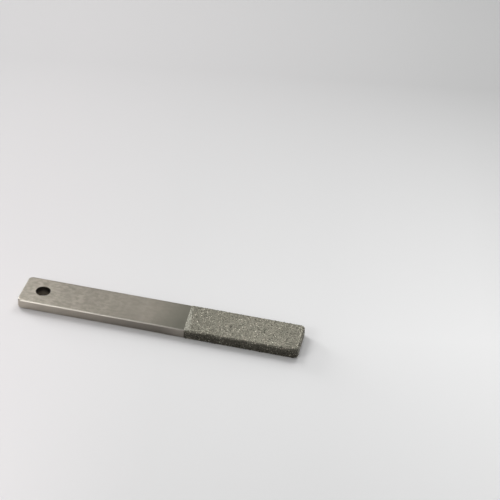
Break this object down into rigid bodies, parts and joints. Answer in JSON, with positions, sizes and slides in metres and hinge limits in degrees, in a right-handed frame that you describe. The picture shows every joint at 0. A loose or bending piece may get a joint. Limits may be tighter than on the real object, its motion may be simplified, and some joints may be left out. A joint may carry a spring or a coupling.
{
  "type": "dressing stick",
  "caption": "Flat steel bar with a hanging hole in its tail and a gritty diamond-plated working end, for cleaning and shaping grinding stones and polishers.",
  "frame": {"origin": "middle of the stick's length and width, level with the underside of the plating, which is its lowest face", "axes": "+X along the bar from the hanging hole towards the plated tip, +Y across its width, +Z through its thickness, up from the face it lies on"},
  "size_m": [0.0842, 0.0122, 0.0033],
  "materials": {
    "satin_steel": "satin",
    "diamond_grit": "matte"
  },
  "bodies": {
    "root": {"steel_blank": "satin_steel", "diamond_plating": "diamond_grit"}
  },
  "joints": []
}
